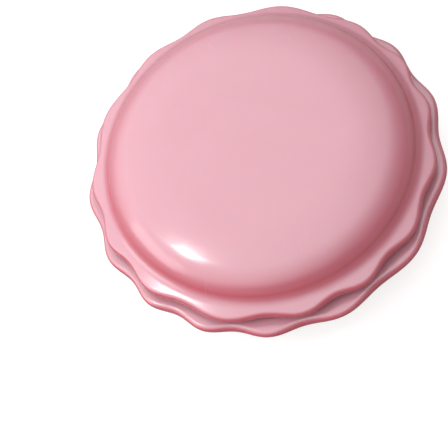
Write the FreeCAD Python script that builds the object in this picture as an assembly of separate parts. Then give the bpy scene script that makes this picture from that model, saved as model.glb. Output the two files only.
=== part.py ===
import FreeCAD, Part
import math
import os

from FreeCAD import Vector

# A magnetic pin cushion in the shape of a filled biscuit: a domed lid and a shallow base, each with
# a scalloped rim. A narrow groove runs all the way round between the two rims, and pins are pushed
# into it. A ring magnet in the lid holds them. The lid lifts off the base, which is a pin tray.
# Millimetres, +Z up, origin on the axis at the surface that the feet stand on.

# --- Overall sizes and the two rims -------------------------------------------------------------

diameter = 80.0             # over the lobes of the base's rim
height = 26.1               # feet to the top of the dome
lid_height = 12.8           # underside of the lid's rim to the top of the dome
groove_gap = 1.3            # between the two rims, where the pins go in
rim_width = 3.4             # the lid's rim, from the dome's wall to its mean edge
rim_setback = 1.7           # the lid's rim inside the base's rim, on their mean edges
rim_lip = 2.4               # thickness of both rims at their edge
rim_slope = 20.0            # degrees, the rims' outer faces
rim_fillet = 2.4            # rim into dome and rim into bowl
lip_rounding = 1.1
edge_break = 0.3            # small chamfers on the spigot, the lid's mouth and the cover

# The scallops are a little uneven. Each rim's lobes wander from an even pitch by the sum of
# amount * sin(times * angle + offset), in radians of the wave.
rim_lobes = 15
rim_points_per_lobe = 8
lid_rim_wave = 0.65         # how far a lobe stands out from the mean edge
lid_rim_phase = 0.682
lid_rim_wander = [(1, 0.96, 0.37), (2, 0.57, 0.24), (4, 0.52, -0.75)]
base_rim_wave = 0.70
base_rim_phase = 0.463
base_rim_wander = [(1, 1.14, -3.04), (2, 0.88, -1.40), (3, 0.21, 0.32)]

# --- Lid ----------------------------------------------------------------------------------------

wall = 1.8
crown_radius = 220.0        # the slight crown of the dome
brow_radius = 36.0          # where the crown starts to turn down
shoulder_radius = 11.0      # the dome's shoulder
corner_radius = 6.5         # where the shoulder turns down into the wall
shoulder_join = 70.0        # degrees above level, where brow and shoulder meet
corner_join = 48.0          # degrees above level, where shoulder and corner meet

cover_thickness = 1.4
cover_clearance = 0.15      # radial, cover in lid
foam_thickness = 0.6
foam_margin = 1.0           # foam ring inside the magnet's edges
magnet_bore_radius = 11.0
magnet_chamfer = 0.5
magnet_clearance = 0.2      # radial, magnet in its cage
cage_wall = 0.9             # the upstand ring that keeps the magnet central
cage_gap = 2.0              # cover to the cage's lower edge
seat_width = 1.5            # the step inside the cage that the magnet sits up against
seat_depth = 0.5

screw_count = 4
screw_radius = 1.0          # M2 self-tapping screw
screw_length = 5.0          # under the head
screw_head_radius = 1.8
screw_head_height = 1.2
screw_head_clearance = 0.4  # screw head to spigot
screw_hole_clearance = 0.02
screw_end_clearance = 0.3
cross_width = 0.5           # the cross recess in the screw's head
cross_length = 2.2
cross_depth = 0.6
boss_wall = 1.4
boss_overlap = 0.3          # boss into cage ring

# --- Base ---------------------------------------------------------------------------------------

base_wall = 2.0
bowl_rounding = 9.0         # under the base
spigot_wall = 1.6
spigot_reach = 3.1          # how far the spigot goes up into the lid
spigot_clearance = 0.1      # radial, spigot in lid

liner_thickness = 1.0       # felt disc in the tray
liner_clearance = 0.3

foot_count = 4
foot_radius = 4.5
foot_thickness = 1.6
foot_proud = 0.8            # how far a foot stands below the base
foot_clearance = 0.05
foot_rounding = 0.4
foot_margin = 0.9           # foot to the edge of the flat underside

# --- Sizes that follow --------------------------------------------------------------------------

base_rim_radius = diameter / 2 - base_rim_wave
lid_rim_radius = base_rim_radius - rim_setback
lid_radius = lid_rim_radius - rim_width
bore_radius = lid_radius - wall
spigot_radius = bore_radius - spigot_clearance
spigot_inner_radius = spigot_radius - spigot_wall

base_bottom = foot_proud
lid_bottom = height - lid_height
base_top = lid_bottom - groove_gap
floor_top = base_bottom + base_wall
spigot_top = lid_bottom + spigot_reach
cover_bottom = spigot_top   # the cover rests on the spigot
cover_top = cover_bottom + cover_thickness
magnet_bottom = cover_top + foam_thickness

screw_circle = spigot_inner_radius - screw_head_clearance - screw_head_radius
screw_hole_radius = screw_radius + screw_hole_clearance
screw_hole_top = cover_bottom + screw_length + screw_end_clearance
boss_radius = screw_radius + boss_wall
cage_outer_radius = screw_circle - boss_radius + boss_overlap
cage_inner_radius = cage_outer_radius - cage_wall
magnet_radius = cage_inner_radius - magnet_clearance

bowl_radius = spigot_inner_radius + base_wall
bowl_corner_radius = min(bowl_rounding, base_top - base_bottom - rim_lip)
bowl_centre = (bowl_radius - bowl_corner_radius, base_bottom + bowl_corner_radius)
foot_circle = bowl_centre[0] - foot_margin - foot_radius
foot_recess_top = base_bottom + foot_thickness - foot_proud

# The dome's section is four tangent arcs, each smaller than the one before it: crown, brow, shoulder
# and corner. Each centre is (radius, z).
crown_centre = (0.0, height - crown_radius)


def next_centre(centre, reach, degrees):
    """The next arc's centre, outwards from the last, so that the two are tangent in that direction."""
    angle = math.radians(degrees)
    return (centre[0] + reach * math.cos(angle), centre[1] + reach * math.sin(angle))


def dome_arcs(scale):
    """Centre and radius of brow, shoulder and corner, with the last two scaled."""
    shoulder = shoulder_radius * scale
    corner = corner_radius * scale
    to_corner = next_centre((0.0, 0.0), shoulder - corner, corner_join)
    to_shoulder = next_centre((0.0, 0.0), brow_radius - shoulder, shoulder_join)
    r = lid_radius - corner - to_corner[0] - to_shoulder[0]
    brow_centre = (r, crown_centre[1] + math.sqrt((crown_radius - brow_radius) ** 2 - r ** 2))
    shoulder_centre = next_centre(brow_centre, brow_radius - shoulder, shoulder_join)
    corner_centre = next_centre(shoulder_centre, shoulder - corner, corner_join)
    return (brow_centre, brow_radius), (shoulder_centre, shoulder), (corner_centre, corner)


# In a low lid shoulder and corner get smaller, to leave the straight bore that the spigot needs.
round_scale = 1.0
while dome_arcs(round_scale)[2][0][1] < spigot_top:
    round_scale -= 0.01
(brow_centre, brow_round), shoulder_arc, corner_arc = dome_arcs(round_scale)
shoulder_centre, shoulder_round = shoulder_arc
corner_centre, corner_round = corner_arc
brow_join = math.degrees(math.atan2(brow_centre[1] - crown_centre[1], brow_centre[0]))


# --- Helpers ------------------------------------------------------------------------------------

def point(radius, z):
    return Vector(radius, 0.0, z)


def on_circle(centre, radius, degrees):
    angle = math.radians(degrees)
    return (centre[0] + radius * math.cos(angle), centre[1] + radius * math.sin(angle))


def line(start, end):
    return Part.LineSegment(point(*start), point(*end)).toShape()


def arc(centre, radius, start, end):
    places = [on_circle(centre, radius, angle) for angle in (start, (start + end) / 2, end)]
    return Part.Arc(*[point(*place) for place in places]).toShape()


def revolved(edges):
    face = Part.Face(Part.Wire(edges))
    return face.revolve(Vector(0, 0, 0), Vector(0, 0, 1), 360)


def disc(radius, z_low, z_high, x=0.0, y=0.0):
    return Part.makeCylinder(radius, z_high - z_low, Vector(x, y, z_low))


def ring(outer, inner, z_low, z_high):
    return disc(outer, z_low, z_high).cut(disc(inner, z_low, z_high))


def around(count, radius):
    """Places evenly spaced on a circle, the first of them 45 degrees round from +X."""
    return [on_circle((0.0, 0.0), radius, 45.0 + 360.0 / count * i) for i in range(count)]


def circle_height(centre, radius, r):
    return centre[1] + math.sqrt(radius ** 2 - (r - centre[0]) ** 2)


def round_to_rim(centre, radius, start, lip, slope):
    """The section of a shell from a round of it to where the rim's sloping face leaves it. The face
    leaves the straight wall if it can, or else the round. Also gives that point."""
    wall_r = centre[0] + radius
    wall_z = lip[1] - slope * (wall_r - lip[0])
    if (wall_z - centre[1]) * slope < 0:
        crease = (wall_r, wall_z)
        return [arc(centre, radius, start, 0.0), line((wall_r, centre[1]), crease)], crease
    offset = lip[1] + slope * lip[0] - centre[1]
    a = 1 + slope ** 2
    b = -2 * (centre[0] + slope * offset)
    c = centre[0] ** 2 + offset ** 2 - radius ** 2
    r = (-b + math.sqrt(b ** 2 - 4 * a * c)) / (2 * a)
    z = lip[1] - slope * (r - lip[0])
    end = math.degrees(math.atan2(z - centre[1], r - centre[0]))
    return [arc(centre, radius, start, end)], (r, z)


def scalloped_prism(mean, wave, phase, wander, z_low, z_high):
    """Starts its curve at -X, away from the seam of the revolved shapes, so the fillets hold."""
    count = rim_lobes * rim_points_per_lobe
    points = []
    for i in range(count):
        angle = math.pi + 2 * math.pi * i / count
        shift = sum(amount * math.sin(times * angle + offset) for times, amount, offset in wander)
        radius = mean + wave * math.cos(rim_lobes * angle + phase + shift)
        points.append(Vector(radius * math.cos(angle), radius * math.sin(angle), z_low))
    curve = Part.BSplineCurve()
    curve.interpolate(Points=points, PeriodicFlag=True)
    return Part.Face(Part.Wire(curve.toShape())).extrude(Vector(0, 0, z_high - z_low))


def sample(edge):
    first, last = edge.ParameterRange
    return [edge.valueAt(first + (last - first) * i / 12) for i in range(13)]


def edges_near(shape, radius, within, z=None):
    """Edges that stay near a radius all the way, and at one height if that is given."""
    found = []
    for edge in shape.Edges:
        points = sample(edge)
        near = all(abs(math.hypot(p.x, p.y) - radius) < within for p in points)
        level = z is None or all(abs(p.z - z) < 1e-3 for p in points)
        if near and level and edge.Length > radius:
            found.append(edge)
    return found


def round_rim(shell, mean, wave):
    """Round the two long wavy edges of a rim."""
    return shell.makeFillet(lip_rounding, edges_near(shell, mean, wave + 0.1))


# --- Lid ----------------------------------------------------------------------------------------

def dome_top(inset):
    """The dome's section from its axis to the top of the corner, inset from the outside."""
    return [
        arc(crown_centre, crown_radius - inset, 90, brow_join),
        arc(brow_centre, brow_round - inset, brow_join, shoulder_join),
        arc(shoulder_centre, shoulder_round - inset, shoulder_join, corner_join),
    ]


def inside_height(r):
    """Height of the dome's inner face above a radius on its crown, brow or shoulder."""
    brow_start = on_circle(crown_centre, crown_radius - wall, brow_join)[0]
    shoulder_start = on_circle(brow_centre, brow_round - wall, shoulder_join)[0]
    if r < brow_start:
        return circle_height(crown_centre, crown_radius - wall, r)
    if r < shoulder_start:
        return circle_height(brow_centre, brow_round - wall, r)
    return circle_height(shoulder_centre, shoulder_round - wall, r)


def dome_filled(inset):
    side = lid_radius - inset
    edges = dome_top(inset)
    edges.append(arc(corner_centre, corner_round - inset, corner_join, 0.0))
    edges.append(line((side, corner_centre[1]), (side, lid_bottom)))
    edges.append(line((side, lid_bottom), (0.0, lid_bottom)))
    edges.append(line((0.0, lid_bottom), (0.0, height - inset)))
    return revolved(edges)


def make_top_shell():
    slope = math.tan(math.radians(rim_slope))
    lip = (lid_rim_radius, lid_bottom + rim_lip)
    far = lid_rim_radius + lid_rim_wave + 1.0
    far_z = lip[1] - slope * (far - lip[0])
    corner, crease = round_to_rim(corner_centre, corner_round, corner_join, lip, slope)
    edges = dome_top(0.0) + corner
    edges.append(line(crease, (far, far_z)))
    edges.append(line((far, far_z), (far, lid_bottom)))
    edges.append(line((far, lid_bottom), (0.0, lid_bottom)))
    edges.append(line((0.0, lid_bottom), (0.0, height)))
    shell = revolved(edges)
    shell = shell.makeFillet(rim_fillet, edges_near(shell, crease[0], 1e-3, crease[1]))
    shell = shell.common(scalloped_prism(lid_rim_radius, lid_rim_wave, lid_rim_phase,
                                         lid_rim_wander, lid_bottom - 1, height + 1))
    shell = round_rim(shell, lid_rim_radius, lid_rim_wave)
    shell = shell.cut(dome_filled(wall))
    shell = shell.makeChamfer(edge_break, edges_near(shell, bore_radius, 1e-3, lid_bottom))
    shell = shell.fuse(inner_upstands()).removeSplitter()
    for x, y in around(screw_count, screw_circle):
        shell = shell.cut(disc(screw_hole_radius, cover_bottom, screw_hole_top, x, y))
    return shell


def magnet_top():
    """The magnet sits up against a seat that stands a little off the dome's inner face."""
    return inside_height(cage_inner_radius) - seat_depth


def inner_upstands():
    """The magnet's cage, its seat and the screw bosses, trimmed to end inside the dome's wall."""
    cage = ring(cage_outer_radius, cage_inner_radius, cover_top + cage_gap, height)
    seat = ring(cage_inner_radius + cage_wall / 2, cage_inner_radius - seat_width,
                magnet_top(), height)
    bosses = [disc(boss_radius, cover_top, height, x, y)
              for x, y in around(screw_count, screw_circle)]
    return cage.fuse([seat] + bosses).common(dome_filled(wall / 2))


def make_magnet():
    magnet = ring(magnet_radius, magnet_bore_radius, magnet_bottom, magnet_top())
    edges = []
    for z in (magnet_bottom, magnet_top()):
        for radius in (magnet_radius, magnet_bore_radius):
            edges += edges_near(magnet, radius, 1e-3, z)
    return magnet.makeChamfer(magnet_chamfer, edges)


def make_foam_ring():
    return ring(magnet_radius - foam_margin, magnet_bore_radius + foam_margin,
                cover_top, magnet_bottom)


def make_cover():
    """As wide as the lid's inner face leaves room for at the cover's top."""
    rise = max(cover_top - corner_centre[1], 0.0)
    room = corner_centre[0] + math.sqrt((corner_round - wall) ** 2 - rise ** 2)
    radius = room - cover_clearance
    cover = disc(radius, cover_bottom, cover_top)
    cover = cover.makeChamfer(edge_break, edges_near(cover, radius, 1e-3, cover_bottom))
    for x, y in around(screw_count, screw_circle):
        cover = cover.cut(disc(screw_hole_radius, cover_bottom, cover_top, x, y))
    return cover


def make_screw(x, y):
    head_bottom = cover_bottom - screw_head_height
    head = disc(screw_head_radius, head_bottom, cover_bottom, x, y)
    lower = [edge for edge in head.Edges if abs(edge.CenterOfMass.z - head_bottom) < 1e-6]
    head = head.makeFillet(screw_head_height / 2, lower)
    for size_x, size_y in ((cross_length, cross_width), (cross_width, cross_length)):
        corner = Vector(x - size_x / 2, y - size_y / 2, head_bottom)
        head = head.cut(Part.makeBox(size_x, size_y, cross_depth, corner))
    tip_z = cover_bottom + screw_length
    shank = disc(screw_radius, cover_bottom, tip_z - screw_radius, x, y)
    tip = Part.makeCone(screw_radius, screw_radius * 0.2, screw_radius,
                        Vector(x, y, tip_z - screw_radius))
    return head.fuse([shank, tip]).removeSplitter()


# --- Base ---------------------------------------------------------------------------------------

def make_base_shell():
    slope = -math.tan(math.radians(rim_slope))
    lip = (base_rim_radius, base_top - rim_lip)
    far = base_rim_radius + base_rim_wave + 1.0
    far_z = lip[1] - slope * (far - lip[0])
    flat_r = bowl_centre[0]
    inner_corner = bowl_corner_radius - base_wall
    corner, crease = round_to_rim(bowl_centre, bowl_corner_radius, -90, lip, slope)
    shell = revolved([line((0.0, base_bottom), (flat_r, base_bottom))] + corner + [
        line(crease, (far, far_z)),
        line((far, far_z), (far, base_top)),
        line((far, base_top), (spigot_radius, base_top)),
        line((spigot_radius, base_top), (spigot_radius, spigot_top)),
        line((spigot_radius, spigot_top), (spigot_inner_radius, spigot_top)),
        line((spigot_inner_radius, spigot_top), (spigot_inner_radius, bowl_centre[1])),
        arc(bowl_centre, inner_corner, 0, -90),
        line((flat_r, floor_top), (0.0, floor_top)),
        line((0.0, floor_top), (0.0, base_bottom)),
    ])
    shell = shell.makeFillet(rim_fillet, edges_near(shell, crease[0], 1e-3, crease[1]))
    shell = shell.common(scalloped_prism(base_rim_radius, base_rim_wave, base_rim_phase,
                                         base_rim_wander, base_bottom - 1, spigot_top + 1))
    shell = round_rim(shell, base_rim_radius, base_rim_wave)
    shell = shell.makeChamfer(edge_break, edges_near(shell, spigot_radius, 1e-3, spigot_top))
    for x, y in around(foot_count, foot_circle):
        recess = disc(foot_radius + foot_clearance, base_bottom, foot_recess_top, x, y)
        shell = shell.cut(recess)
    return shell


def make_liner():
    return disc(bowl_centre[0] - liner_clearance, floor_top, floor_top + liner_thickness)


def make_foot(x, y):
    foot = disc(foot_radius, 0.0, foot_thickness, x, y)
    lower = [edge for edge in foot.Edges if abs(edge.CenterOfMass.z) < 1e-6]
    return foot.makeFillet(foot_rounding, lower)


# --- Export -------------------------------------------------------------------------------------

nodes = {
    "top_shell": make_top_shell(),
    "ring_magnet": make_magnet(),
    "magnet_foam_ring": make_foam_ring(),
    "magnet_cover": make_cover(),
    "base_shell": make_base_shell(),
    "tray_liner": make_liner(),
}
for i, (x, y) in enumerate(around(screw_count, screw_circle)):
    nodes["cover_screw_%d" % (i + 1)] = make_screw(x, y)
for i, (x, y) in enumerate(around(foot_count, foot_circle)):
    nodes["foot_pad_%d" % (i + 1)] = make_foot(x, y)

os.makedirs("parts", exist_ok=True)
for name, shape in nodes.items():
    shape.exportStep("parts/%s.step" % name)
    print(name, "solids", len(shape.Solids), "valid", shape.isValid(), "mm3", round(shape.Volume, 1))
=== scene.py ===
import math
import bpy
import bmesh
from mathutils import Matrix, Vector


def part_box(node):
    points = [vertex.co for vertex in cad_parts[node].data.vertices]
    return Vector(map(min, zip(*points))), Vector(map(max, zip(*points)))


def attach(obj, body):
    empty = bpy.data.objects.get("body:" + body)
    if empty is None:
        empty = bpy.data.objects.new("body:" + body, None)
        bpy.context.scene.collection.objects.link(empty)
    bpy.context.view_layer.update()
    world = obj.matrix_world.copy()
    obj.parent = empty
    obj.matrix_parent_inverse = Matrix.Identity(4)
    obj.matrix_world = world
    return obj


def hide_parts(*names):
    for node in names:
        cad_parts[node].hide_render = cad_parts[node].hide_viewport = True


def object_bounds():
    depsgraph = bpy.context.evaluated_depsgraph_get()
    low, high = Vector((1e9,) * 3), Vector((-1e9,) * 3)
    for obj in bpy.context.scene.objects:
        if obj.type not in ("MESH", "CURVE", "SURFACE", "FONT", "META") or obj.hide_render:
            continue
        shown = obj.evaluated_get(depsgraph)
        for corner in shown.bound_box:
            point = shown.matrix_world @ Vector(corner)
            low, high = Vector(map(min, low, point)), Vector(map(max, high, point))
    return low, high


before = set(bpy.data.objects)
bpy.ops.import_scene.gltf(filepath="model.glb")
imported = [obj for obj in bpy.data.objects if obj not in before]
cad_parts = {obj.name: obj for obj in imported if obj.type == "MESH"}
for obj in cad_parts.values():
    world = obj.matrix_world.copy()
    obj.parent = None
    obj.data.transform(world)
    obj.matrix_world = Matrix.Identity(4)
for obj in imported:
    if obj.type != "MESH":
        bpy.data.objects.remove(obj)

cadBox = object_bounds()
mm = 0.001
lidLow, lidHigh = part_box("top_shell")
baseLow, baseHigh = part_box("base_shell")
print("stage: frame loaded,", len(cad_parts), "cad pieces")


# node helpers, a value may be a number, a colour or another node's output

def feed(tree, socket, value):
    if isinstance(value, bpy.types.NodeSocket):
        tree.links.new(value, socket)
    elif value is not None:
        socket.default_value = value


def addNode(tree, kind, inputs=(), **settings):
    node = tree.nodes.new(kind)
    for key, value in settings.items():
        setattr(node, key, value)
    for key, value in dict(inputs).items():
        feed(tree, node.inputs[key], value)
    return node


def calc(tree, operation, first, second=None, third=None, clamp=False):
    node = addNode(tree, "ShaderNodeMath", operation=operation, use_clamp=clamp)
    for socket, value in zip(node.inputs, (first, second, third)):
        feed(tree, socket, value)
    return node.outputs[0]


def mixColours(tree, amount, first, second):
    node = addNode(tree, "ShaderNodeMix", data_type="RGBA", blend_type="MIX")
    for index, value in ((0, amount), (6, first), (7, second)):
        feed(tree, node.inputs[index], value)
    return node.outputs[2]


def remap(tree, value, fromLow, fromHigh, toLow, toHigh):
    node = addNode(tree, "ShaderNodeMapRange", {
        "Value": value, "From Min": fromLow, "From Max": fromHigh, "To Min": toLow, "To Max": toHigh})
    return node.outputs["Result"]


def startGroup(name, inputs, outputs):
    group = bpy.data.node_groups.new(name, "ShaderNodeTree")
    for socketName, value in inputs.items():
        socket = group.interface.new_socket(socketName, in_out="INPUT", socket_type="NodeSocketFloat")
        socket.default_value = value
    for socketName in outputs:
        group.interface.new_socket(socketName, in_out="OUTPUT", socket_type="NodeSocketFloat")
    start = addNode(group, "NodeGroupInput")
    end = addNode(group, "NodeGroupOutput")
    place = addNode(group, "ShaderNodeTexCoord").outputs["Object"]
    return group, start.outputs, end.inputs, place


def useGroup(tree, group, **values):
    node = addNode(tree, "ShaderNodeGroup", node_tree=group)
    for key, value in values.items():
        feed(tree, node.inputs[key], value)
    return node.outputs


def startMaterial(name):
    material = bpy.data.materials.new(name)
    material.use_nodes = True
    tree = material.node_tree
    return material, tree, tree.nodes["Principled BSDF"]


def bumpInto(tree, shader, height, distance):
    bump = addNode(tree, "ShaderNodeBump", {"Height": height, "Distance": distance, "Strength": 1.0})
    feed(tree, shader.inputs["Normal"], bump.outputs["Normal"])


# what moulded and handled surfaces share: slow flow of the pigment, fine grain and uneven gloss

def makeMouldedGroup():
    group, given, out, place = startGroup(
        "mouldedSurface", {"Flow": 60.0, "Grain": 2600.0, "Haze": 180.0}, ["Flow", "Grain", "Haze"])
    flow = addNode(group, "ShaderNodeTexNoise", {
        "Vector": place, "Scale": given["Flow"], "Detail": 3.0, "Roughness": 0.55, "Distortion": 0.8})
    feed(group, out["Flow"], remap(group, flow.outputs["Fac"], 0.3, 0.7, 0.0, 1.0))
    grain = addNode(group, "ShaderNodeTexNoise", {
        "Vector": place, "Scale": given["Grain"], "Detail": 2.0, "Roughness": 0.6})
    feed(group, out["Grain"], grain.outputs["Fac"])
    haze = addNode(group, "ShaderNodeTexNoise", {
        "Vector": place, "Scale": given["Haze"], "Detail": 5.0, "Roughness": 0.7, "Distortion": 1.5})
    feed(group, out["Haze"], remap(group, haze.outputs["Fac"], 0.35, 0.72, 0.0, 1.0))
    return group


# hairline scratches that come and go, as on anything that is picked up often

def makeScuffGroup():
    group, given, out, place = startGroup(
        "handlingScuffs", {"Spread": 220.0, "Width": 0.012, "Patches": 70.0}, ["Scuffs"])
    bend = addNode(group, "ShaderNodeTexNoise", {
        "Vector": place, "Scale": given["Patches"], "Detail": 1.0})
    bent = addNode(group, "ShaderNodeVectorMath", {
        0: bend.outputs["Color"], 1: (0.008, 0.008, 0.008), 2: place}, operation="MULTIPLY_ADD")
    stretched = addNode(group, "ShaderNodeVectorMath", {
        0: bent.outputs[0], 1: (1.0, 0.22, 0.6)}, operation="MULTIPLY")
    cells = addNode(group, "ShaderNodeTexVoronoi", {
        "Vector": stretched.outputs[0], "Scale": given["Spread"]}, feature="DISTANCE_TO_EDGE")
    lineMask = calc(group, "LESS_THAN", cells.outputs["Distance"], given["Width"])
    patches = addNode(group, "ShaderNodeTexNoise", {
        "Vector": place, "Scale": given["Patches"], "Detail": 4.0, "Roughness": 0.6})
    where = remap(group, patches.outputs["Fac"], 0.5, 0.66, 0.0, 1.0)
    feed(group, out["Scuffs"], calc(group, "MULTIPLY", lineMask, where))
    return group


# settled dust and lint, thicker where the surface looks up

def makeDustGroup():
    group, given, out, place = startGroup("settledDust", {"Specks": 900.0, "Amount": 0.2}, ["Dust"])
    facing = addNode(group, "ShaderNodeSeparateXYZ", {
        "Vector": addNode(group, "ShaderNodeNewGeometry").outputs["Normal"]})
    upward = remap(group, facing.outputs["Z"], 0.2, 1.0, 0.0, 1.0)
    specks = addNode(group, "ShaderNodeTexNoise", {
        "Vector": place, "Scale": given["Specks"], "Detail": 3.0, "Roughness": 0.7})
    spread = remap(group, specks.outputs["Fac"], 0.55, 0.8, 0.0, 1.0)
    lying = calc(group, "MULTIPLY", upward, spread)
    feed(group, out["Dust"], calc(group, "MULTIPLY", lying, given["Amount"], clamp=True))
    return group


mouldedSurface = makeMouldedGroup()
handlingScuffs = makeScuffGroup()
settledDust = makeDustGroup()


# the finishes, "surface", "scuffs" and "dust" are what each one feeds into the groups above

pinkPlastic = {
    "colour": (0.49, 0.230, 0.272, 1.0),
    "flowColour": (0.50, 0.238, 0.280, 1.0),
    "deepColour": (0.47, 0.050, 0.080, 1.0),    # painted shade, the darker crimson given to steep sides
    "levelAt": 0.93, "steepAt": 0.28,           # upward part of the surface's direction, between which the painted shade fades in
    "scuffColour": (0.56, 0.29, 0.33, 1.0),
    "scuffShare": 0.03,
    "gloss": 0.20,          # roughness where it is clean
    "hazeGloss": 0.25,
    "scuffGloss": 0.26,
    "peel": 0.000015,       # height of the slow ripple left by the mould
    "grainShare": 0.06,
    "glow": 0.40,           # light that goes into the plastic and comes out again
    "glowDepth": 0.003,
    "glowColour": (1.0, 0.3, 0.3),
    "skin": 0.25,           # a thin clear skin, sharper than the gloss under it
    "skinGloss": 0.08,
    "shine": 1.72,          # index of refraction, high for a bright gloss
    "surface": {"Flow": 55.0, "Grain": 2400.0, "Haze": 120.0},
    "scuffs": {"Spread": 260.0, "Width": 0.003, "Patches": 60.0},
}


def makePinkPlastic():
    look = pinkPlastic
    material, tree, shader = startMaterial("glossyPinkPlastic")
    surface = useGroup(tree, mouldedSurface, **look["surface"])
    scuffs = useGroup(tree, handlingScuffs, **look["scuffs"])["Scuffs"]
    swirled = mixColours(tree, surface["Flow"], look["colour"], look["flowColour"])
    # painted shade: steep faces, whichever way they face, are coloured darker crimson towards deepColour
    outward = addNode(tree, "ShaderNodeTexCoord").outputs["Normal"]
    upward = addNode(tree, "ShaderNodeSeparateXYZ", {"Vector": outward}).outputs["Z"]
    level = calc(tree, "ABSOLUTE", upward)
    paintedShadeMask = remap(tree, level, look["levelAt"], look["steepAt"], 0.0, 1.0)
    body = mixColours(tree, paintedShadeMask, swirled, look["deepColour"])
    worn = calc(tree, "MULTIPLY", scuffs, look["scuffShare"])
    feed(tree, shader.inputs["Base Color"], mixColours(tree, worn, body, look["scuffColour"]))
    gloss = remap(tree, surface["Haze"], 0.0, 1.0, look["gloss"], look["hazeGloss"])
    rubbed = calc(tree, "MULTIPLY", scuffs, look["scuffGloss"] - look["gloss"])
    feed(tree, shader.inputs["Roughness"], calc(tree, "ADD", gloss, rubbed))
    height = calc(tree, "MULTIPLY_ADD", surface["Grain"], look["grainShare"], surface["Flow"])
    bumpInto(tree, shader, height, look["peel"])
    shader.inputs["IOR"].default_value = look["shine"]
    shader.inputs["Subsurface Weight"].default_value = look["glow"]
    shader.inputs["Subsurface Radius"].default_value = look["glowColour"]
    shader.inputs["Subsurface Scale"].default_value = look["glowDepth"]
    shader.inputs["Coat Weight"].default_value = look["skin"]
    shader.inputs["Coat Roughness"].default_value = look["skinGloss"]
    return material


ferrite = {
    "colour": (0.022, 0.022, 0.025, 1.0),
    "flowColour": (0.05, 0.048, 0.048, 1.0),
    "scuffColour": (0.16, 0.16, 0.17, 1.0),
    "gloss": 0.5, "hazeGloss": 0.75,
    "pits": 0.00006,
    "surface": {"Flow": 220.0, "Grain": 3800.0, "Haze": 500.0},
    "scuffs": {"Spread": 500.0, "Width": 0.02, "Patches": 160.0},
}


def makeFerrite():
    look = ferrite
    material, tree, shader = startMaterial("sinteredFerrite")
    surface = useGroup(tree, mouldedSurface, **look["surface"])
    scuffs = useGroup(tree, handlingScuffs, **look["scuffs"])["Scuffs"]
    body = mixColours(tree, surface["Flow"], look["colour"], look["flowColour"])
    feed(tree, shader.inputs["Base Color"], mixColours(tree, scuffs, body, look["scuffColour"]))
    gloss = remap(tree, surface["Haze"], 0.0, 1.0, look["gloss"], look["hazeGloss"])
    feed(tree, shader.inputs["Roughness"], gloss)
    bumpInto(tree, shader, surface["Grain"], look["pits"])
    return material


coverPlastic = {
    "colour": (0.80, 0.72, 0.70, 1.0),
    "flowColour": (0.76, 0.66, 0.645, 1.0),
    "scuffColour": (0.60, 0.54, 0.52, 1.0),
    "scuffShare": 0.5,
    "gloss": 0.42, "hazeGloss": 0.58,
    "tooth": 0.00005,       # height of the mould's fine matt texture
    "surface": {"Flow": 90.0, "Grain": 3200.0, "Haze": 240.0},
    "scuffs": {"Spread": 320.0, "Width": 0.012, "Patches": 80.0},
}


def makeCoverPlastic():
    look = coverPlastic
    material, tree, shader = startMaterial("mattWhiteCover")
    surface = useGroup(tree, mouldedSurface, **look["surface"])
    scuffs = useGroup(tree, handlingScuffs, **look["scuffs"])["Scuffs"]
    body = mixColours(tree, surface["Flow"], look["colour"], look["flowColour"])
    rubbed = calc(tree, "MULTIPLY", scuffs, look["scuffShare"])
    feed(tree, shader.inputs["Base Color"], mixColours(tree, rubbed, body, look["scuffColour"]))
    gloss = remap(tree, surface["Haze"], 0.0, 1.0, look["gloss"], look["hazeGloss"])
    feed(tree, shader.inputs["Roughness"], gloss)
    bumpInto(tree, shader, surface["Grain"], look["tooth"])
    return material


screwSteel = {
    "colour": (0.60, 0.60, 0.58, 1.0),
    "dull": (0.40, 0.39, 0.37, 1.0),
    "gloss": 0.22, "flowGloss": 0.38,
    "scuffRough": 0.25,     # what a scratch adds to the roughness
    "grain": 0.00001,
    "surface": {"Flow": 700.0, "Grain": 6000.0, "Haze": 1500.0},
    "scuffs": {"Spread": 1500.0, "Width": 0.03, "Patches": 500.0},
}


def makeScrewSteel():
    look = screwSteel
    material, tree, shader = startMaterial("zincPlatedSteel")
    surface = useGroup(tree, mouldedSurface, **look["surface"])
    scuffs = useGroup(tree, handlingScuffs, **look["scuffs"])["Scuffs"]
    body = mixColours(tree, surface["Haze"], look["colour"], look["dull"])
    feed(tree, shader.inputs["Base Color"], body)
    gloss = remap(tree, surface["Flow"], 0.0, 1.0, look["gloss"], look["flowGloss"])
    feed(tree, shader.inputs["Roughness"], calc(tree, "MULTIPLY_ADD", scuffs, look["scuffRough"], gloss))
    shader.inputs["Metallic"].default_value = 1.0
    bumpInto(tree, shader, surface["Grain"], look["grain"])
    return material


felt = {
    "colour": (0.70, 0.52, 0.53, 1.0),
    "deepColour": (0.46, 0.30, 0.31, 1.0),
    "dustColour": (0.85, 0.80, 0.78, 1.0),
    "fibres": 3000.0,
    "fibreStretches": ((1.0, 0.22, 1.0), (0.25, 1.0, 1.0)),     # two layers that lie across each other
    "fibreBend": (0.0035, 0.0035, 0.0),
    "fibreShare": 0.6,
    "lumps": 320.0,
    "nap": 0.0005,          # height of the matted fibres
    "smooth": 0.88, "rough": 1.0,
    "sheen": 0.5,
    "dust": {"Specks": 1400.0, "Amount": 0.35},
}


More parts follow.
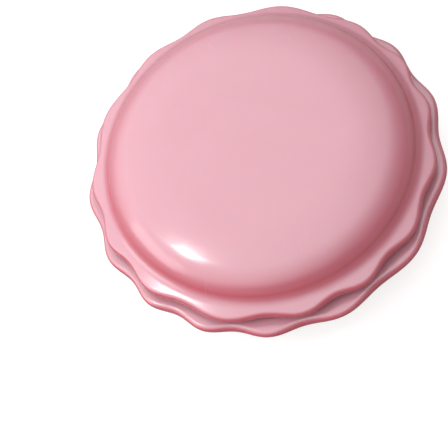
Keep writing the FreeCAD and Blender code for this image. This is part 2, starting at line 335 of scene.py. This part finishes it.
def makeFelt():
    look = felt
    material, tree, shader = startMaterial("pressedFelt")
    place = addNode(tree, "ShaderNodeTexCoord").outputs["Object"]
    lumps = addNode(tree, "ShaderNodeTexNoise", {
        "Vector": place, "Scale": look["lumps"], "Detail": 4.0, "Roughness": 0.7})
    layers = []
    for stretch in look["fibreStretches"]:
        bend = addNode(tree, "ShaderNodeVectorMath", {
            0: lumps.outputs["Color"], 1: look["fibreBend"], 2: place}, operation="MULTIPLY_ADD")
        pulled = addNode(tree, "ShaderNodeVectorMath", {
            0: bend.outputs[0], 1: stretch}, operation="MULTIPLY")
        fibres = addNode(tree, "ShaderNodeTexNoise", {
            "Vector": pulled.outputs[0], "Scale": look["fibres"], "Detail": 3.0, "Roughness": 0.65})
        layers.append(fibres.outputs["Fac"])
    matted = calc(tree, "MAXIMUM", layers[0], layers[1])
    shade = remap(tree, matted, 0.42, 0.68, 0.0, 1.0)
    body = mixColours(tree, shade, look["deepColour"], look["colour"])
    dust = useGroup(tree, settledDust, **look["dust"])["Dust"]
    feed(tree, shader.inputs["Base Color"], mixColours(tree, dust, body, look["dustColour"]))
    rough = remap(tree, lumps.outputs["Fac"], 0.3, 0.7, look["smooth"], look["rough"])
    feed(tree, shader.inputs["Roughness"], rough)
    height = calc(tree, "MULTIPLY_ADD", matted, look["fibreShare"], lumps.outputs["Fac"])
    bumpInto(tree, shader, height, look["nap"])
    shader.inputs["Sheen Weight"].default_value = look["sheen"]
    shader.inputs["Sheen Roughness"].default_value = look["sheen"]
    return material


footRubber = {
    "colour": (0.50, 0.50, 0.49, 1.0),
    "flowColour": (0.42, 0.42, 0.415, 1.0),
    "dustColour": (0.7, 0.69, 0.67, 1.0),
    "gloss": 0.55, "hazeGloss": 0.75,
    "grain": 0.00008,
    "surface": {"Flow": 300.0, "Grain": 4200.0, "Haze": 700.0},
    "dust": {"Specks": 2200.0, "Amount": 0.3},
}


def makeFootRubber():
    look = footRubber
    material, tree, shader = startMaterial("softGreyRubber")
    surface = useGroup(tree, mouldedSurface, **look["surface"])
    dust = useGroup(tree, settledDust, **look["dust"])["Dust"]
    body = mixColours(tree, surface["Flow"], look["colour"], look["flowColour"])
    feed(tree, shader.inputs["Base Color"], mixColours(tree, dust, body, look["dustColour"]))
    gloss = remap(tree, surface["Haze"], 0.0, 1.0, look["gloss"], look["hazeGloss"])
    feed(tree, shader.inputs["Roughness"], gloss)
    bumpInto(tree, shader, surface["Grain"], look["grain"])
    return material


foam = {
    "colour": (0.028, 0.028, 0.031, 1.0),
    "cellColour": (0.008, 0.008, 0.009, 1.0),
    "cells": 2600.0,
    "cellDepth": 0.0002,
    "gloss": 0.8, "hazeGloss": 0.95,
    "surface": {"Flow": 200.0, "Grain": 3000.0, "Haze": 400.0},
}


def makeFoam():
    look = foam
    material, tree, shader = startMaterial("closedCellFoam")
    place = addNode(tree, "ShaderNodeTexCoord").outputs["Object"]
    cells = addNode(tree, "ShaderNodeTexVoronoi", {"Vector": place, "Scale": look["cells"]})
    depth = remap(tree, cells.outputs["Distance"], 0.0, 0.7, 0.0, 1.0)
    surface = useGroup(tree, mouldedSurface, **look["surface"])
    feed(tree, shader.inputs["Base Color"], mixColours(tree, depth, look["cellColour"], look["colour"]))
    gloss = remap(tree, surface["Haze"], 0.0, 1.0, look["gloss"], look["hazeGloss"])
    feed(tree, shader.inputs["Roughness"], gloss)
    bumpInto(tree, shader, depth, look["cellDepth"])
    return material


# one finish for each material slot of the part
finishes = {
    "pink_shell": makePinkPlastic(),
    "ferrite": makeFerrite(),
    "foam": makeFoam(),
    "white_cover": makeCoverPlastic(),
    "screw_steel": makeScrewSteel(),
    "felt": makeFelt(),
    "foot_rubber": makeFootRubber(),
}
print("stage: finishes made")


# turned pieces: a section of (radius, height) points in mm, swept round the axis

def arcPoints(centre, radius, start, end, count):
    places = []
    for i in range(count):
        angle = start + (end - start) * i / (count - 1)
        places.append((centre[0] + radius * math.cos(angle), centre[1] + radius * math.sin(angle)))
    return places


def between(first, last, count):
    # the points between two others, without the two
    steps = [(i + 1) / (count + 1) for i in range(count)]
    return [(first[0] + (last[0] - first[0]) * t, first[1] + (last[1] - first[1]) * t) for t in steps]


sharpAngle = math.radians(40.0)     # edges that turn more than this are shaded sharp


def turnedPiece(name, section, around, finish, ring=False):
    mesh = bpy.data.meshes.new(name)
    bm = bmesh.new()
    poles = {}
    columns = []
    for i in range(around):
        angle = 2 * math.pi * i / around
        column = []
        for k, (r, z) in enumerate(section(angle)):
            if r > 0:
                column.append(bm.verts.new((r * mm * math.cos(angle), r * mm * math.sin(angle), z * mm)))
                continue
            if k not in poles:
                poles[k] = bm.verts.new((0.0, 0.0, z * mm))
            column.append(poles[k])
        columns.append(column + column[:1] if ring else column)
    for i, here in enumerate(columns):
        there = columns[(i + 1) % around]
        for k in range(len(here) - 1):
            corners = []
            for vert in (here[k], here[k + 1], there[k + 1], there[k]):
                if vert not in corners:
                    corners.append(vert)
            bm.faces.new(corners)
    bmesh.ops.recalc_face_normals(bm, faces=bm.faces)
    for face in bm.faces:
        face.smooth = True
    bm.to_mesh(mesh)
    bm.free()
    mesh.set_sharp_from_angle(angle=sharpAngle)
    piece = bpy.data.objects.new(name, mesh)
    bpy.context.scene.collection.objects.link(piece)
    mesh.materials.append(finishes[finish])
    return piece


# the two scalloped rims, in mm

rims = {
    "lobes": 15,
    "gap": 1.3,             # between the two rims, the pins go in here
    "lip": 2.4,             # thickness at the edge
    "slope": 20.0,          # of the outer face, in degrees
    "hollow": 3.4,          # round where the rim leaves the shell
    "lipRound": 1.15,
    "lid": {"radius": 37.6, "wave": 0.65, "phase": 0.682,
            "wander": [(1, 0.96, 0.37), (2, 0.57, 0.24), (4, 0.52, -0.75)]},
    "base": {"radius": 39.3, "wave": 0.70, "phase": 0.463,
             "wander": [(1, 1.14, -3.04), (2, 0.88, -1.40), (3, 0.21, 0.32)]},
}


def rimEdge(rim, angle):
    shift = sum(amount * math.sin(times * angle + offset) for times, amount, offset in rim["wander"])
    return rim["radius"] + rim["wave"] * math.cos(rims["lobes"] * angle + rim["phase"] + shift)


def overRim(rim, centre, radius, start, face, angle):
    # from a round of the shell, through the hollow, over the rim and round its lip to the flat face
    slope = math.tan(math.radians(rims["slope"]))
    lean = math.hypot(1, slope)
    hollow, lipRound = rims["hollow"], rims["lipRound"]
    edge = rimEdge(rim, angle)
    top = face + rims["lip"] + slope * rim["radius"]    # the outer face's height is top - slope * r
    rise = top + hollow * lean - centre[1]
    a = lean ** 2
    b = -2 * (centre[0] + slope * rise)
    c = centre[0] ** 2 + rise ** 2 - (radius + hollow) ** 2
    hollowR = (-b + math.sqrt(b ** 2 - 4 * a * c)) / (2 * a)
    hollowZ = centre[1] + rise - slope * hollowR
    towards = math.atan2(hollowZ - centre[1], hollowR - centre[0])
    points = arcPoints(centre, radius, start, towards, 12)
    points += arcPoints((hollowR, hollowZ), hollow, towards - math.pi, math.atan2(-1, -slope), 9)[1:]
    lipCentre = (edge - lipRound, top - slope * (edge - lipRound) - lipRound * lean)
    upper = arcPoints(lipCentre, lipRound, math.atan2(1, slope), 0.0, 9)
    lower = arcPoints((edge - lipRound, face + lipRound), lipRound, 0.0, -math.pi / 2, 9)
    return points + between(points[-1], upper[0], 4) + upper + lower


# lid shell, in mm

lidShape = {
    "wallRadius": 34.2, "wall": 1.8,
    "crown": 220.0, "brow": 36.0, "shoulder": 11.0, "corner": 6.5,  # radii of the dome's section
    "browJoin": 70.0, "join": 48.0,     # where the last three meet, degrees above level
    "edgeBreak": 0.3,
    "around": 360,
}


def lidRounds():
    # centre, radius and start of the dome's four tangent arcs, from the axis outwards
    crown, brow, shoulder, corner = (lidShape[k] for k in ("crown", "brow", "shoulder", "corner"))
    browJoin, join = math.radians(lidShape["browJoin"]), math.radians(lidShape["join"])
    shoulderR = lidShape["wallRadius"] - corner - (shoulder - corner) * math.cos(join)
    browR = shoulderR - (brow - shoulder) * math.cos(browJoin)
    crownZ = lidHigh.z / mm - crown
    browZ = crownZ + math.sqrt((crown - brow) ** 2 - browR ** 2)
    shoulderZ = browZ + (brow - shoulder) * math.sin(browJoin)
    cornerAt = (shoulderR + (shoulder - corner) * math.cos(join),
                shoulderZ + (shoulder - corner) * math.sin(join))
    crownJoin = math.atan2(browZ - crownZ, browR)
    return [((0.0, crownZ), crown, math.pi / 2), ((browR, browZ), brow, crownJoin),
            ((shoulderR, shoulderZ), shoulder, browJoin), (cornerAt, corner, join)]


def lidSection(angle):
    top, under = lidHigh.z / mm, lidLow.z / mm
    rounds = lidRounds()
    wall = lidShape["wall"]
    bore = lidShape["wallRadius"] - wall
    cornerAt, corner, join = rounds[-1]
    points = [(0.0, top)]
    for (centre, radius, start), following in zip(rounds, rounds[1:]):
        points += arcPoints(centre, radius, start, following[2], 14)[1:]
    points += overRim(rims["lid"], cornerAt, corner, join, under, angle)[1:]
    mouth = (bore + lidShape["edgeBreak"], under)
    points += between(points[-1], mouth, 4) + [mouth, (bore, under + lidShape["edgeBreak"])]
    points += arcPoints(cornerAt, corner - wall, 0.0, join, 8)
    for (centre, radius, start), following in zip(rounds[-2::-1], rounds[:0:-1]):
        points += arcPoints(centre, radius - wall, following[2], start, 8)[1:]
    return points[:-1] + [(0.0, top - wall)]


lidShell = turnedPiece("lidShell", lidSection, lidShape["around"], "pink_shell")
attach(lidShell, "lid")
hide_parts("top_shell")
print("stage: lid shell", len(lidShell.data.polygons), "faces")


# base shell, in mm

baseShape = {
    "bowlRadius": 32.7, "bowlRound": 8.8, "wall": 2.0,
    "spigotRadius": 32.3, "spigotInner": 30.7, "edgeBreak": 0.3,
    "around": 360,
    "feet": 4, "footRecess": 0.8, "footGap": 0.05,
    "flatRings": (0.4, 0.8),    # extra rings of points on the flat, as shares of its radius
}


def baseSection(angle):
    under, spigotTop = baseLow.z / mm, baseHigh.z / mm
    face = lidLow.z / mm - rims["gap"]
    bowlRound, wall, cut = baseShape["bowlRound"], baseShape["wall"], baseShape["edgeBreak"]
    spigot, inner = baseShape["spigotRadius"], baseShape["spigotInner"]
    flat = baseShape["bowlRadius"] - bowlRound
    rings = [flat * share for share in baseShape["flatRings"]]
    # the outside is the lid's kind of rim, upside down
    outside = overRim(rims["base"], (flat, -under - bowlRound), bowlRound, math.pi / 2, -face, angle)
    points = [(0.0, under)] + [(r, under) for r in rings]
    points += [(r, -z) for r, z in outside]
    step = (spigot, face)
    points += between(points[-1], step, 4)
    points += [step, (spigot, spigotTop - cut), (spigot - cut, spigotTop)]
    points += [(inner + cut / 2, spigotTop), (inner, spigotTop - cut / 2)]
    points += arcPoints((flat, under + bowlRound), bowlRound - wall, 0.0, -math.pi / 2, 14)
    return points + [(r, under + wall) for r in reversed(rings)] + [(0.0, under + wall)]


def sinkFeet(piece):
    # round recesses for the feet, cut out of the flat underside
    for number in range(1, baseShape["feet"] + 1):
        low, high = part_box("foot_pad_%d" % number)
        centre = (low + high) / 2
        radius = (high.x - low.x) / 2 + baseShape["footGap"] * mm
        cutter = bpy.data.meshes.new("footCutter")
        bm = bmesh.new()
        bmesh.ops.create_cone(bm, cap_ends=True, segments=64, radius1=radius, radius2=radius,
                              depth=2 * baseShape["footRecess"] * mm,
                              matrix=Matrix.Translation((centre.x, centre.y, baseLow.z)))
        bm.to_mesh(cutter)
        bm.free()
        tool = bpy.data.objects.new("footCutter", cutter)
        bpy.context.scene.collection.objects.link(tool)
        modifier = piece.modifiers.new("recess", "BOOLEAN")
        modifier.operation, modifier.solver, modifier.object = "DIFFERENCE", "EXACT", tool
        bpy.context.view_layer.update()
        graph = bpy.context.evaluated_depsgraph_get()
        cutMesh = bpy.data.meshes.new_from_object(piece.evaluated_get(graph))
        piece.modifiers.remove(modifier)
        piece.data = cutMesh
        bpy.data.objects.remove(tool)
    for face in piece.data.polygons:
        face.use_smooth = True
    piece.data.set_sharp_from_angle(angle=sharpAngle)


baseShell = turnedPiece("baseShell", baseSection, baseShape["around"], "pink_shell")
sinkFeet(baseShell)
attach(baseShell, "base")
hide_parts("base_shell")
print("stage: base shell", len(baseShell.data.polygons), "faces")


# felt in the tray, in mm

feltShape = {
    "edgeRound": 0.35,
    "ripple": 0.04,         # height of the slow unevenness
    "ripples": ((1.9, 3), (0.7, -2)),   # of its two waves: along the radius, times round
    "rings": 24, "around": 180,
}


def feltSection(angle):
    low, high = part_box("tray_liner")
    radius, bottom, top = high.x / mm, low.z / mm, high.z / mm
    rounding = feltShape["edgeRound"]
    points = [(0.0, top)]
    for i in range(1, feltShape["rings"]):
        r = (radius - rounding) * i / feltShape["rings"]
        ripple = math.prod(math.sin(r * along + times * angle) for along, times in feltShape["ripples"])
        points.append((r, top - feltShape["ripple"] * (1 + ripple)))
    points += arcPoints((radius - rounding, top - rounding), rounding, math.pi / 2, 0.0, 6)
    lower = rounding / 2
    points += arcPoints((radius - lower, bottom + lower), lower, 0.0, -math.pi / 2, 4)
    return points + [(radius * 0.5, bottom), (0.0, bottom)]


trayFelt = turnedPiece("trayFelt", feltSection, feltShape["around"], "felt")
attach(trayFelt, "base")
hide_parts("tray_liner")

# foam ring over the magnet, in mm
foamShape = {"bulge": 0.12, "bore": 12.0, "around": 180}


def foamSection(angle):
    low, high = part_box("magnet_foam_ring")
    outer, bottom, top = high.x / mm, low.z / mm, high.z / mm
    inner, half = foamShape["bore"], (top - bottom) / 2
    side = [math.radians(90 - 18 * i) for i in range(11)]
    bulge = foamShape["bulge"]
    points = [(outer - bulge + bulge * math.cos(a), bottom + half + half * math.sin(a)) for a in side]
    middle = (outer + inner) / 2
    points.append((middle, bottom))
    points += [(inner + bulge - bulge * math.cos(a), bottom + half - half * math.sin(a)) for a in side]
    return points + [(middle, top)]


magnetFoam = turnedPiece("magnetFoam", foamSection, foamShape["around"], "foam", ring=True)
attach(magnetFoam, "lid")
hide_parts("magnet_foam_ring")

# the cad pieces that keep their shape get their own finish
cadFinishes = {
    "ring_magnet": "ferrite", "magnet_cover": "white_cover",
    "cover_screw_": "screw_steel", "foot_pad_": "foot_rubber",
}
for start, finish in cadFinishes.items():
    for node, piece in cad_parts.items():
        if node.startswith(start):
            for materialSlot in piece.material_slots:
                materialSlot.material = finishes[finish]
print("stage: felt, foam, magnet, cover, screws and feet")


# floor, lights and camera, in metres

studio = {
    "floor": {"colour": (0.34, 0.335, 0.33, 1.0), "rough": 0.9, "tooth": 0.00003,
              "glow": (0.95, 0.945, 0.94, 1.0), "lift": 0.78,
              "size": 6.0, "gap": 0.00005},
    "key": {"from": (-0.60, -0.06, 0.80), "away": 0.62, "size": (0.13, 0.13), "power": 0.75},
    "left": {"from": (-0.95, -0.05, 0.28), "away": 0.90, "size": (0.55, 0.40), "power": 1.2},
    # a wide soft sky, bright on the upper left and falling away to a dim right side
    "glow": {"from": (-0.42, 0.17, 0.89), "dimFrom": 0.02, "brightFrom": 0.85,
             "bright": (1.86, 1.89, 1.93, 1.0), "dim": (0.20, 0.07, 0.08, 1.0)},
}


def makeFloor():
    values = studio["floor"]
    mesh = bpy.data.meshes.new("floor")
    bm = bmesh.new()
    bmesh.ops.create_grid(bm, x_segments=24, y_segments=24, size=values["size"] / 2)
    bm.to_mesh(mesh)
    bm.free()
    floor = bpy.data.objects.new("floor", mesh)
    bpy.context.scene.collection.objects.link(floor)
    material, tree, shader = startMaterial("palePaper")
    place = addNode(tree, "ShaderNodeTexCoord").outputs["Object"]
    tooth = addNode(tree, "ShaderNodeTexNoise", {"Vector": place, "Scale": 700.0, "Detail": 3.0})
    bumpInto(tree, shader, tooth.outputs["Fac"], values["tooth"])
    shader.inputs["Base Color"].default_value = values["colour"]
    shader.inputs["Roughness"].default_value = values["rough"]
    # looked at directly the paper is a little brighter, so that it stays pale on the dim side
    seen = addNode(tree, "ShaderNodeLightPath").outputs["Is Camera Ray"]
    feed(tree, shader.inputs["Emission Color"], mixColours(
        tree, seen, (0.0, 0.0, 0.0, 1.0), values["glow"]))
    shader.inputs["Emission Strength"].default_value = values["lift"]
    mesh.materials.append(material)
    floor.location.z = -values["gap"]


def makeLight(name):
    values = studio[name]
    objectCentre = (cadBox[0] + cadBox[1]) / 2
    data = bpy.data.lights.new(name + "Light", "AREA")
    data.shape = "RECTANGLE"
    data.size, data.size_y = values["size"]
    data.energy = values["power"]
    light = bpy.data.objects.new(name + "Light", data)
    direction = Vector(values["from"]).normalized()
    light.location = objectCentre + direction * values["away"]
    light.rotation_mode = "QUATERNION"
    light.rotation_quaternion = direction.to_track_quat("Z", "Y")
    bpy.context.scene.collection.objects.link(light)


def makeStudioGlow():
    glow = studio["glow"]
    world = bpy.data.worlds.new("studioGlow")
    world.use_nodes = True
    tree = world.node_tree
    looking = addNode(tree, "ShaderNodeTexCoord").outputs["Generated"]
    towards = addNode(tree, "ShaderNodeVectorMath", {
        0: looking, 1: Vector(glow["from"]).normalized()}, operation="DOT_PRODUCT")
    amount = addNode(tree, "ShaderNodeMapRange", {
        "Value": towards.outputs["Value"], "From Min": glow["dimFrom"], "From Max": glow["brightFrom"]},
        interpolation_type="SMOOTHSTEP")
    colour = mixColours(tree, amount.outputs["Result"], glow["dim"], glow["bright"])
    feed(tree, tree.nodes["Background"].inputs["Color"], colour)
    bpy.context.scene.world = world


makeFloor()
makeLight("key")
makeLight("left")
makeStudioGlow()
bpy.context.scene.view_settings.view_transform = "Standard"

cameraSet = {
    "elevation": 62.0, "roll": 22.5, "azimuth": 3.0,     # degrees, the right side is turned up
    "away": 0.428, "lens": 157.4,
    "aimLeft": 0.00840, "aimBelow": 0.01396,    # of the lid rim's centre
    "rimUp": 0.001,         # that centre, above the lid's lowest face
    "sensor": 36.0, "nearest": 0.01, "farthest": 20.0,
}


def makeCamera():
    data = bpy.data.cameras.new("camera")
    data.lens, data.sensor_width = cameraSet["lens"], cameraSet["sensor"]
    camera = bpy.data.objects.new("camera", data)
    bpy.context.scene.collection.objects.link(camera)
    elevation, roll = math.radians(cameraSet["elevation"]), math.radians(cameraSet["roll"])
    rimCentre = Vector((0.0, 0.0, lidLow.z + cameraSet["rimUp"]))
    azimuth = math.radians(cameraSet["azimuth"])
    across = Vector((math.cos(azimuth), math.sin(azimuth), 0.0))
    level = Vector((math.sin(azimuth), -math.cos(azimuth), 0.0))
    back = level * math.cos(elevation) + Vector((0.0, 0.0, math.sin(elevation)))
    upward = back.cross(across)
    right = across * math.cos(roll) - upward * math.sin(roll)
    up = across * math.sin(roll) + upward * math.cos(roll)
    camera.location = rimCentre + back * cameraSet["away"]
    aim = rimCentre - right * cameraSet["aimLeft"] - up * cameraSet["aimBelow"]
    back = (camera.location - aim).normalized()
    right = (right - back * right.dot(back)).normalized()
    up = back.cross(right)
    turn = Matrix((right, up, back)).transposed()
    camera.rotation_mode = "QUATERNION"
    camera.rotation_quaternion = turn.to_quaternion()
    data.clip_start, data.clip_end = cameraSet["nearest"], cameraSet["farthest"]
    bpy.context.scene.camera = camera


makeCamera()
print("stage: floor, lights and camera")
